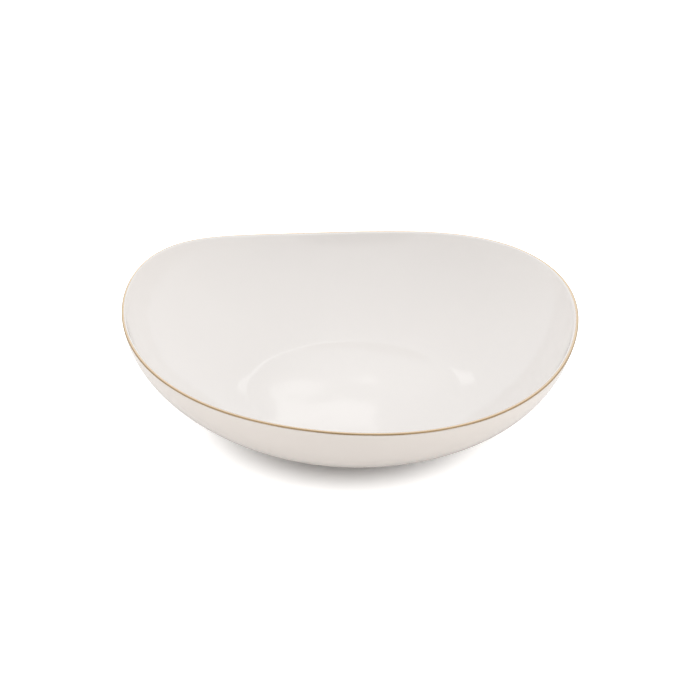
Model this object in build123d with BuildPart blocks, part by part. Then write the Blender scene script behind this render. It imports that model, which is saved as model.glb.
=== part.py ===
from build123d import *

import os
from math import atan2, cos, hypot, pi, radians, sin

# A porcelain serving bowl with a freely waved rim, a gilded lip and a bare foot ring.
# Millimetres. The origin is the centre of the foot ring, on the surface that the bowl stands on,
# and +Z runs up out of the open bowl.

# Lip outline seen from above, and the height of the lip: a mean size and the waves added to it.
# Each wave is its number of lobes round the bowl, its height in mm and the direction of one crest.
lip_mean_radius = 150.0
lip_waves = [
    (1, 4.2, 68.0),
    (2, 3.1, 97.0),
    (3, 2.7, 35.5),
    (4, 1.7, 28.0),
    (5, 1.0, 40.0),
]
rim_mean_height = 61.0
rim_waves = [
    (1, 3.6, 166.0),
    (2, 3.5, 170.0),
    (3, 3.9, 37.0),
    (4, 1.9, 68.0),
]

# Wall: how far up its quarter of a superellipse the lip lies, and the two powers of that curve.
wall_reach = 0.74
wall_rise_power = 2.5
wall_spread_power = 1.64

# The inside is the outside moved in by the inset and up by the floor's thickness.
wall_inset = 1.6
floor_thickness = 4.4
lip_rounding = 0.7

# Foot ring: narrower at the table, and wiped bare of glaze.
foot_height = 4.0
belly_edge_radius = 70.0
foot_inset = 1.0
foot_width = 6.5
foot_taper = 1.0
foot_rounding = 0.9

# Gilding: it takes in the rounded lip, and goes on for a skirt below it. Down a wall that leans
# out, a rounding reaches further than its own radius.
rounding_reach_in_radii = 1.5
gilding_skirt = 0.3

# How finely the waved surfaces are drawn, and how far the cutting surfaces run past the bowl.
outline_points = 36
section_count = 8
section_crowding = 1.7
rim_grid_steps = 20
rim_sheet_margin = 30.0
wall_spare_height = 15.0


def wave_sum(angle, waves, reach=1.0):
    """Sum of a set of waves at an angle; each fades towards the middle as reach falls to 0."""
    return sum(
        size * reach**lobes * cos(lobes * (angle - radians(crest)))
        for lobes, size, crest in waves
    )


def rim_height(x, y):
    reach = hypot(x, y) / lip_mean_radius
    return rim_mean_height + wave_sum(atan2(y, x), rim_waves, reach)


def wall_spread(rise):
    """Share of the way from foot to lip that the wall has gone outward; rise is 1 at the lip."""
    left = max(1 - wall_reach * rise, 0)
    return (1 - left**wall_rise_power) ** (1 / wall_spread_power)


def wall_outline(height, outward):
    """Points round the outside of the wall at a height, moved outward."""
    rise = (height - foot_height) / (rim_mean_height - foot_height)
    spread = wall_spread(rise) / wall_spread(1)
    points = []
    for step in range(outline_points):
        angle = 2 * pi * step / outline_points
        lip_radius = lip_mean_radius + wave_sum(angle, lip_waves)
        radius = belly_edge_radius + (lip_radius - belly_edge_radius) * spread + outward
        points.append((radius * cos(angle), radius * sin(angle)))
    return points


def wall_block(outward, lifted):
    """Solid inside the wall's outer surface, after the surface is moved outward and lifted."""
    climb = rim_mean_height - foot_height + wall_spare_height
    with BuildPart() as block:
        for step in range(section_count):
            height = foot_height + climb * (step / (section_count - 1)) ** section_crowding
            with BuildSketch(Plane.XY.offset(height + lifted)):
                with BuildLine():
                    Spline(*wall_outline(height, outward), periodic=True)
                make_face()
        loft()
    return block.part


def above_rim(drop):
    """Block of everything above the waved rim surface, after the surface is lowered."""
    half = lip_mean_radius + rim_sheet_margin
    places = [half * (2 * step / rim_grid_steps - 1) for step in range(rim_grid_steps + 1)]
    grid = [[Vector(x, y, rim_height(x, y) - drop) for y in places] for x in places]
    with BuildPart() as block:
        extrude(Face.make_surface_from_array_of_points(grid), amount=2 * rim_mean_height, dir=(0, 0, 1))
    return block.part


outside_block = wall_block(0, 0)
hollow_block = wall_block(-wall_inset, floor_thickness)
above_lip = above_rim(0)
gilding_depth = lip_rounding * rounding_reach_in_radii + gilding_skirt
above_glaze = above_rim(gilding_depth)
foot_outer_radius = belly_edge_radius - foot_inset
foot_inner_radius = foot_outer_radius - foot_width

# Glazed wall and floor, up to the lower edge of the gilding.
with BuildPart() as glazed_bowl:
    add(outside_block)
    add(hollow_block, mode=Mode.SUBTRACT)
    add(above_glaze, mode=Mode.SUBTRACT)

# Gilded lip: the top of the wall, rounded over on both sides.
with BuildPart() as gilded_lip:
    add(outside_block)
    add(hollow_block, mode=Mode.SUBTRACT)
    add(above_lip, mode=Mode.SUBTRACT)
    crest = gilded_lip.faces().sort_by(Axis.Z)[-1]
    fillet(crest.edges(), radius=lip_rounding)
    add(above_glaze, mode=Mode.INTERSECT)

# Foot ring, standing under the flat middle of the belly.
with BuildPart() as foot_ring:
    with BuildSketch(Plane.XZ) as foot_section:
        with BuildLine():
            Polyline(
                (foot_inner_radius, foot_height),
                (foot_inner_radius + foot_taper, 0),
                (foot_outer_radius - foot_taper, 0),
                (foot_outer_radius, foot_height),
                close=True,
            )
        make_face()
        fillet(foot_section.vertices().group_by(Axis.Y)[0], radius=foot_rounding)
    revolve(axis=Axis.Z)

os.makedirs("parts", exist_ok=True)

glazed_bowl.part.label = "glazed_bowl"
export_step(glazed_bowl.part, "parts/glazed_bowl.step")

gilded_lip.part.label = "gilded_lip"
export_step(gilded_lip.part, "parts/gilded_lip.step")

foot_ring.part.label = "foot_ring"
export_step(foot_ring.part, "parts/foot_ring.step")
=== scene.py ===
import bpy
import bmesh
from math import atan2, cos, pi, radians, sin
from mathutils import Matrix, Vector, noise


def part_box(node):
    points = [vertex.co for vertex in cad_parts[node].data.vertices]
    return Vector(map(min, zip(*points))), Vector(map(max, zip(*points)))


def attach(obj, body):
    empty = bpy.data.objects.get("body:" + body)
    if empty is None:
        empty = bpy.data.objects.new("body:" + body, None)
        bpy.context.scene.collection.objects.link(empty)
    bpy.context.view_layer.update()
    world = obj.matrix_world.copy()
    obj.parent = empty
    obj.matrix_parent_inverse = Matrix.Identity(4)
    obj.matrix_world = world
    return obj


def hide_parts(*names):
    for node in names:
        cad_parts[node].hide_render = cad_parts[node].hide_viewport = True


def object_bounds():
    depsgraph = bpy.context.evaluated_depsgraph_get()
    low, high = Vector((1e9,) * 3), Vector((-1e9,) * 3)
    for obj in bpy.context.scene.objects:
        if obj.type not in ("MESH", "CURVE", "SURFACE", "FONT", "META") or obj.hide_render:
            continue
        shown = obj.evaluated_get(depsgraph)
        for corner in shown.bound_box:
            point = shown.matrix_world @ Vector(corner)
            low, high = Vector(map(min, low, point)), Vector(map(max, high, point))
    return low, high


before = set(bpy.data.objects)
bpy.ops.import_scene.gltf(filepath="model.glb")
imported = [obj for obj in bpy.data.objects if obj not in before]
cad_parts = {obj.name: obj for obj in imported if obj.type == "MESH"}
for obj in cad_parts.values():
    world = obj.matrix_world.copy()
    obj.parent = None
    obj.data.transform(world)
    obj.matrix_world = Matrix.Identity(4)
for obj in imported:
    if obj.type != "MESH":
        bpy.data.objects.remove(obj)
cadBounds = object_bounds()
scene = bpy.context.scene
print("frame loaded")

# the bowl's form in metres: each wave is lobes round the bowl, height and direction of one crest
bowlForm = {
    "lipRadius": 0.14986,
    "lipWaves": [(1, 0.0042, 68), (2, 0.0031, 97), (3, 0.0027, 35.5), (4, 0.0017, 28), (5, 0.0010, 40)],
    "rimHeight": 0.061,
    "rimWaves": [(1, 0.0036, 166), (2, 0.0035, 170), (3, 0.0039, 37), (4, 0.0019, 68)],
    "wallReach": 0.74,
    "risePower": 2.5,
    "spreadPower": 1.64,
    "wallInset": 0.0016,
    "floorThickness": 0.0044,
    "bellyRadius": 0.070,
    "lipRounding": 0.0007,
    "gildingDrop": 0.0010,
    "gildingTurn": 112,
    "gildingDrift": 0.00018,
    "gildingDriftScale": 9,
    "gildingDriftBand": 0.0002,
    "spinSteps": 240,
    "wallRings": 48,
    "ringCrowding": 1.7,
    "innerLipRings": 8,
    "gildedLipRings": 16,
    "undersideRings": 8,
    "floorRings": 16,
    "crestRounds": 6,
}
mergeDistance = 0.000001
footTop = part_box("foot_ring")[1][2]
floorTop = footTop + bowlForm["floorThickness"]


def waveSum(angle, waves, reach=1.0):
    return sum(size * reach ** lobes * cos(lobes * (angle - radians(crest))) for lobes, size, crest in waves)


def wallSpread(rise):
    # share of the way from foot to lip that the wall has gone outward; rise is 1 at the lip
    left = max(1 - bowlForm["wallReach"] * max(rise, 0), 0)
    return (1 - left ** bowlForm["risePower"]) ** (1 / bowlForm["spreadPower"])


def wallRadius(height, depth, lipRadius):
    # depth is 0 on the outside of the wall and 1 on the inside
    height -= depth * bowlForm["floorThickness"]
    rise = (height - footTop) / (bowlForm["rimHeight"] - footTop)
    spread = wallSpread(rise) / wallSpread(1)
    belly = bowlForm["bellyRadius"]
    return belly + (lipRadius - belly) * spread - depth * bowlForm["wallInset"]


def crestAt(angle):
    # lip radius at the nominal height, and how high the lip's crest stands
    lipRadius = bowlForm["lipRadius"] + waveSum(angle, bowlForm["lipWaves"])
    height = bowlForm["rimHeight"]
    # the height depends on how far out the crest stands, so the two are settled in a few rounds
    for _ in range(bowlForm["crestRounds"]):
        reach = wallRadius(height, 0.5, lipRadius) / bowlForm["lipRadius"]
        height = bowlForm["rimHeight"] + waveSum(angle, bowlForm["rimWaves"], reach)
    return lipRadius, height


crests = [crestAt(2 * pi * step / bowlForm["spinSteps"]) for step in range(bowlForm["spinSteps"])]


def spinAboutAxis(bm, geom, steps):
    bmesh.ops.spin(
        bm, geom=geom, cent=(0, 0, 0), axis=(0, 0, 1), angle=2 * pi,
        steps=steps, use_merge=True, use_duplicate=False,
    )


def spinProfile(bm, profile):
    # a run of (depth in the wall, height, radius) turned about the bowl's axis
    depthLayer = bm.verts.layers.float.new("depth")
    verts = []
    for depth, height, radius in profile:
        vert = bm.verts.new((radius, 0, height))
        vert[depthLayer] = depth
        verts.append(vert)
    edges = [bm.edges.new(pair) for pair in zip(verts, verts[1:])]
    spinAboutAxis(bm, verts + edges, bowlForm["spinSteps"])
    return depthLayer


def waveBowl(bm, depthLayer):
    # lifts and spreads the turned wall into the freely waved one
    plain = bowlForm["rimHeight"]
    goldEdge = plain - bowlForm["gildingDrop"]
    for vert in bm.verts:
        x, y, z = vert.co
        depth = vert[depthLayer]
        base = footTop + depth * bowlForm["floorThickness"]
        if z <= base + mergeDistance:
            continue
        angle = atan2(y, x)
        step = round(angle / (2 * pi) * bowlForm["spinSteps"]) % bowlForm["spinSteps"]
        lipRadius, crest = crests[step]
        # the hand-laid lower edge of the gold wanders a little
        place = Vector((cos(angle), sin(angle), 0)) * bowlForm["gildingDriftScale"]
        nearEdge = max(0, 1 - abs(z - goldEdge) / bowlForm["gildingDriftBand"]) * (1 - depth)
        drift = noise.noise(place) * bowlForm["gildingDrift"] * nearEdge
        share = (z - base) / (plain - base)
        height = base + (crest - base) * share + drift
        radius = wallRadius(height, depth, lipRadius)
        vert.co = (radius * cos(angle), radius * sin(angle), height)


def wallPoints(depth, top):
    # from the belly's edge up the wall, with the rings crowded where it bends most
    base = footTop + depth * bowlForm["floorThickness"]
    points = []
    for step in range(bowlForm["wallRings"] + 1):
        height = base + (top - base) * (step / bowlForm["wallRings"]) ** bowlForm["ringCrowding"]
        points.append((depth, height, wallRadius(height, depth, bowlForm["lipRadius"])))
    return points


def lipPoints(first, last, rings):
    # part of the half round over the lip, which turns from 0 on the outside to pi on the inside
    points = []
    for step in range(rings + 1):
        turn = first + (last - first) * step / rings
        depth = 0.5 - 0.5 * cos(turn)
        height = bowlForm["rimHeight"] - bowlForm["lipRounding"] * (1 - sin(turn))
        points.append((depth, height, wallRadius(height, depth, bowlForm["lipRadius"])))
    return points


def finishPiece(bm, name, nodeName, material):
    bmesh.ops.remove_doubles(bm, verts=bm.verts, dist=mergeDistance)
    bmesh.ops.recalc_face_normals(bm, faces=bm.faces)
    for face in bm.faces:
        face.smooth = True
    mesh = bpy.data.meshes.new(name)
    bm.to_mesh(mesh)
    bm.free()
    mesh.materials.append(material)
    piece = bpy.data.objects.new(name, mesh)
    scene.collection.objects.link(piece)
    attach(piece, "root")
    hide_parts(nodeName)
    return piece


class Value:
    # wraps one socket, so that shader maths reads as plain sums
    def __init__(self, tree, socket):
        self.tree = tree
        self.socket = socket

    def maths(self, operation, first, second):
        node = self.tree.nodes.new("ShaderNodeMath")
        node.operation = operation
        for place, value in enumerate((first, second)):
            if isinstance(value, Value):
                self.tree.links.new(value.socket, node.inputs[place])
            else:
                node.inputs[place].default_value = value
        return Value(self.tree, node.outputs[0])

    def __add__(self, other):
        return self.maths("ADD", self, other)

    def __radd__(self, other):
        return self.maths("ADD", other, self)

    def __mul__(self, other):
        return self.maths("MULTIPLY", self, other)

    def __rmul__(self, other):
        return self.maths("MULTIPLY", other, self)


class NodeBench:
    # one node tree, and the method that makes its nodes
    def __init__(self, tree):
        self.tree = tree

    def node(self, kind, settings=None, inputs=None, output=0):
        node = self.tree.nodes.new("ShaderNode" + kind)
        for name, value in (settings or {}).items():
            setattr(node, name, value)
        for name, value in (inputs or {}).items():
            if isinstance(value, Value):
                self.tree.links.new(value.socket, node.inputs[name])
            else:
                node.inputs[name].default_value = value
        return Value(self.tree, node.outputs[output])

    def noise(self, place, scale, detail=2, roughness=0.5):
        return self.node("TexNoise", inputs={
            "Vector": place, "Scale": scale, "Detail": detail, "Roughness": roughness,
        })

    def smoothStep(self, value, first, last, low=0.0, high=1.0):
        return self.node("MapRange", {"interpolation_type": "SMOOTHSTEP"}, {
            "Value": value, "From Min": first, "From Max": last, "To Min": low, "To Max": high,
        })

    def mixColours(self, factor, first, second):
        # a Mix node keeps its two colours at inputs 6 and 7, and their mixture at output 2
        return self.node("Mix", {"data_type": "RGBA"}, {"Factor": factor, 6: first, 7: second}, output=2)


class Finish(NodeBench):
    # one material: its node tree and its Principled shader
    def __init__(self, name, fixed):
        self.material = bpy.data.materials.new(name)
        self.material.use_nodes = True
        super().__init__(self.material.node_tree)
        self.shader = self.tree.nodes["Principled BSDF"]
        for socket, value in fixed.items():
            self.shader.inputs[socket].default_value = value

    def set(self, socket, value):
        self.tree.links.new(value.socket, self.shader.inputs[socket])

    def setBump(self, height):
        self.set("Normal", self.node("Bump", inputs={"Height": height, "Strength": 1, "Distance": 1}))

    def objectPlace(self):
        return self.node("TexCoord", output="Object")

    def wallDepth(self):
        return self.node("Attribute", {"attribute_name": "depth"}, output="Fac")


glazeLook = {
    "shader": {"IOR": 1.5},
    "innerWhite": (0.80, 0.772, 0.745, 1),
    "innerShade": (0.775, 0.742, 0.72, 1),
    # painted shade: the outside wall's white is darker and warmer than the inside's, for the shade and warm
    # bounce light under the bowl
    "outerWhitePaintedShade": (0.735, 0.678, 0.628, 1),
    "cloudScale": 14,
    "cloudDetail": 3,
    "cloudRoughness": 0.55,
    "roughness": 0.045,
    "roughnessSpread": 0.03,
    "swellScale": 22,
    "swellDepth": 0.0005,
    "peelScale": 260,
    "peelDepth": 0.00001,
}


def glazeMaterial():
    look = glazeLook
    finish = Finish("clearGlaze", look["shader"])
    place = finish.objectPlace()
    cloud = finish.noise(place, look["cloudScale"], look["cloudDetail"], look["cloudRoughness"])
    inner = finish.mixColours(cloud, look["innerWhite"], look["innerShade"])
    # painted shade: the outside of the wall (depth 0) takes the darker, warmer outer white, the inside takes
    # the inner whites
    finish.set("Base Color", finish.mixColours(finish.wallDepth(), look["outerWhitePaintedShade"], inner))
    finish.set("Roughness", look["roughness"] + cloud * look["roughnessSpread"])
    # the slow swell of a hand-formed wall, and the fine peel of a melted glaze
    swell = finish.noise(place, look["swellScale"], detail=1)
    peel = finish.noise(place, look["peelScale"])
    finish.setBump(swell * look["swellDepth"] + peel * look["peelDepth"])
    return finish.material


def makeGlazedBowl():
    goldEdge = bowlForm["rimHeight"] - bowlForm["gildingDrop"]
    lipFoot = bowlForm["rimHeight"] - bowlForm["lipRounding"]
    belly = bowlForm["bellyRadius"]
    undersideRings = bowlForm["undersideRings"]
    floorRings = bowlForm["floorRings"]
    underside = [(0, footTop, belly * step / undersideRings) for step in range(undersideRings)]
    outside = wallPoints(0, goldEdge)
    innerLip = lipPoints(radians(bowlForm["gildingTurn"]), pi, bowlForm["innerLipRings"])
    inside = wallPoints(1, lipFoot)[-2::-1]
    floorRadius = belly - bowlForm["wallInset"]
    floor = [(1, floorTop, floorRadius * (1 - step / floorRings)) for step in range(1, floorRings + 1)]
    bm = bmesh.new()
    depthLayer = spinProfile(bm, underside + outside + innerLip + inside + floor)
    waveBowl(bm, depthLayer)
    return finishPiece(bm, "glazedBowl", "glazed_bowl", glazeMaterial())


glazedBowl = makeGlazedBowl()
print("glazed bowl turned and waved")


goldLook = {
    "shader": {"Metallic": 1.0},
    # painted shade: the two outside golds are darkened for a dark reflection, and the wear noise varies
    # between them
    "outsidePaintedShadeDeep": (0.34, 0.22, 0.11, 1),
    "outsidePaintedShadePale": (0.48, 0.34, 0.19, 1),
    "crest": (0.84, 0.68, 0.50, 1),
    "paintedShadeFadeFrom": 0.08,
    "paintedShadeFadeTo": 0.42,
    "wearScale": 60,
    "wearDetail": 4,
    "wearRoughness": 0.6,
    "roughness": 0.1,
    "roughnessSpread": 0.15,
    "brushScale": 900,
    "brushDepth": 0.00002,
}


def goldMaterial():
    look = goldLook
    finish = Finish("burnishedGold", look["shader"])
    place = finish.objectPlace()
    wear = finish.noise(place, look["wearScale"], look["wearDetail"], look["wearRoughness"])
    # painted shade: the darkened outside gold, varied by the wear noise
    outside = finish.mixColours(wear, look["outsidePaintedShadeDeep"], look["outsidePaintedShadePale"])
    # painted shade: the outside of the gold is painted deep brown for the dark reflection it shows, and over
    # the crest it turns to the gold's own pale colour
    crestClearOfPaintedShade = finish.smoothStep(finish.wallDepth(), look["paintedShadeFadeFrom"], look["paintedShadeFadeTo"])
    finish.set("Base Color", finish.mixColours(crestClearOfPaintedShade, outside, look["crest"]))
    finish.set("Roughness", look["roughness"] + wear * look["roughnessSpread"])
    finish.setBump(finish.noise(place, look["brushScale"]) * look["brushDepth"])
    return finish.material


def makeGildedLip():
    # gold laid down the outside of the lip and just over its crest
    goldEdge = bowlForm["rimHeight"] - bowlForm["gildingDrop"]
    lowEdge = (0, goldEdge, wallRadius(goldEdge, 0, bowlForm["lipRadius"]))
    overLip = lipPoints(0, radians(bowlForm["gildingTurn"]), bowlForm["gildedLipRings"])
    bm = bmesh.new()
    depthLayer = spinProfile(bm, [lowEdge] + overLip + [lowEdge])
    waveBowl(bm, depthLayer)
    return finishPiece(bm, "gildedLip", "gilded_lip", goldMaterial())


gildedLip = makeGildedLip()
print("lip gilded")


footForm = {
    "outerInset": 0.001,
    "width": 0.0065,
    "taper": 0.001,
    "rounding": 0.0009,
    "roundingSegments": 5,
    "spinSteps": 192,
}
biscuitLook = {
    "shader": {"IOR": 1.45},
    "pale": (0.74, 0.70, 0.64, 1),
    "stained": (0.66, 0.61, 0.54, 1),
    "stainScale": 35,
    "stainDetail": 4,
    "grainScale": 1400,
    "grainDetail": 3,
    "grainDepth": 0.00005,
    "roughness": 0.62,
    "roughnessSpread": 0.2,
}


def biscuitMaterial():
    look = biscuitLook
    finish = Finish("bareBiscuit", look["shader"])
    place = finish.objectPlace()
    grain = finish.noise(place, look["grainScale"], look["grainDetail"])
    stain = finish.noise(place, look["stainScale"], look["stainDetail"])
    finish.set("Base Color", finish.mixColours(stain, look["pale"], look["stained"]))
    finish.set("Roughness", look["roughness"] + grain * look["roughnessSpread"])
    finish.setBump(grain * look["grainDepth"])
    return finish.material


def makeFootRing():
    outer = bowlForm["bellyRadius"] - footForm["outerInset"]
    inner = outer - footForm["width"]
    taper = footForm["taper"]
    corners = [(inner, footTop), (inner + taper, 0), (outer - taper, 0), (outer, footTop)]
    bm = bmesh.new()
    verts = [bm.verts.new((radius, 0, height)) for radius, height in corners]
    bm.faces.new(verts)
    bmesh.ops.bevel(
        bm, geom=verts[1:3], offset=footForm["rounding"], segments=footForm["roundingSegments"],
        profile=0.5, affect="VERTICES", material=-1,
    )
    # only the section's outline is turned, so no face is left inside the ring
    bmesh.ops.delete(bm, geom=list(bm.faces), context="FACES_ONLY")
    spinAboutAxis(bm, list(bm.verts) + list(bm.edges), footForm["spinSteps"])
    return finishPiece(bm, "footRing", "foot_ring", biscuitMaterial())


footRing = makeFootRing()
print("foot ring turned")


floorLook = {
    "size": 8.0,
    "shader": {
        "Base Color": (0.96, 0.96, 0.96, 1), "Roughness": 1.0, "Specular IOR Level": 0.0,
        "Emission Strength": 1.0,
    },
    "glow": 0.6,
    # painted shadow: the glow fades out towards this centre by the bowl's foot, within these distances
    "paintedShadowCentre": (-0.005, -0.03, 0),
    "paintedShadowEdgeFrom": 0.050,
    "paintedShadowEdgeTo": 0.105,
}


def paperMaterial():
    # painted light and painted shadow: the paper glows for camera rays only, and a painted shadow round the
    # bowl's foot, set towards the front, takes the glow away there
    look = floorLook
    paper = Finish("whitePaper", look["shader"])
    away = paper.node(
        "VectorMath", {"operation": "DISTANCE"}, {0: paper.objectPlace(), 1: look["paintedShadowCentre"]},
        output="Value",
    )
    glow = paper.smoothStep(away, look["paintedShadowEdgeFrom"], look["paintedShadowEdgeTo"], high=look["glow"])
    seen = paper.node("LightPath", output="Is Camera Ray")
    # painted light: the glow shows only to camera rays, and is gone in the painted shadow by the foot
    paper.set("Emission Color", paper.mixColours(glow * seen, (0, 0, 0, 1), (1, 1, 1, 1)))
    return paper.material


def makeFloor():
    bm = bmesh.new()
    bmesh.ops.create_grid(bm, x_segments=1, y_segments=1, size=floorLook["size"] / 2)
    mesh = bpy.data.meshes.new("studioFloor")
    bm.to_mesh(mesh)
    bm.free()
    mesh.materials.append(paperMaterial())
    floor = bpy.data.objects.new("studioFloor", mesh)
    floor.location.z = cadBounds[0][2]
    scene.collection.objects.link(floor)


makeFloor()
print("floor laid")


tentLook = {
    "light": 0.98,
    "darkSide": 0.04,
    "darkTowards": (0, -0.978, 0.208),
    "darkFrom": 0.83,
    "darkTo": 0.93,
}


def makeTent():
    # white tent, with its dark open side towards the camera
    look = tentLook
    world = bpy.data.worlds.new("whiteTent")
    world.use_nodes = True
    bench = NodeBench(world.node_tree)
    background = bench.tree.nodes["Background"]
    background.inputs["Color"].default_value = (1, 1, 1, 1)
    towards = bench.node(
        "VectorMath", {"operation": "DOT_PRODUCT"},
        {0: bench.node("TexCoord", output="Generated"), 1: look["darkTowards"]}, output="Value",
    )
    strength = bench.smoothStep(towards, look["darkFrom"], look["darkTo"], look["light"], look["darkSide"])
    bench.tree.links.new(strength.socket, background.inputs["Strength"])
    scene.world = world
    scene.view_settings.view_transform = "Standard"


# each lamp faces the bowl's foot; only a mirrored one shows in the glaze and the gold
lamps = [
    {"name": "keyLight", "place": (0.8, 0.9, 1.5), "size": 1.2, "power": 3},
    {"name": "fillLight", "place": (0.15, -1.6, 0.9), "size": 1.2, "power": 4.2},
    {"name": "leftLight", "place": (-1.5, -0.25, 0.6), "size": 1.0, "power": 4},
    {"name": "rightLight", "place": (1.5, -0.35, 0.6), "size": 1.0, "power": 4},
    {"name": "windowLight", "place": (-0.038, 1.35, 0.775), "size": 0.15, "height": 0.06, "power": 0.019,
     "mirrored": True},
]


def addLamp(lamp):
    light = bpy.data.lights.new(lamp["name"], "AREA")
    light.shape = "RECTANGLE" if "height" in lamp else "DISK"
    light.size = lamp["size"]
    light.size_y = lamp.get("height", lamp["size"])
    light.energy = lamp["power"]
    holder = bpy.data.objects.new(lamp["name"], light)
    holder.location = lamp["place"]
    holder.visible_glossy = lamp.get("mirrored", False)
    holder.rotation_euler = Vector(lamp["place"]).to_track_quat("Z", "Y").to_euler()
    scene.collection.objects.link(holder)


makeTent()
for lamp in lamps:
    addLamp(lamp)
print("lights hung")


cameraSet = {
    "distance": 1.3,
    "elevation": 28.57,
    "lens": 101.9,
    "sensorWidth": 36,
    "clipStart": 0.05,
    "aim": (-0.0013, 0.0159, 0.0292),
}


def makeCamera():
    elevation = radians(cameraSet["elevation"])
    place = Vector((0, -cos(elevation), sin(elevation))) * cameraSet["distance"]
    data = bpy.data.cameras.new("camera")
    data.lens = cameraSet["lens"]
    data.sensor_width = cameraSet["sensorWidth"]
    data.clip_start = cameraSet["clipStart"]
    camera = bpy.data.objects.new("camera", data)
    camera.location = place
    camera.rotation_euler = (place - Vector(cameraSet["aim"])).to_track_quat("Z", "Y").to_euler()
    scene.collection.objects.link(camera)
    bpy.context.scene.camera = camera


makeCamera()
print("camera set")
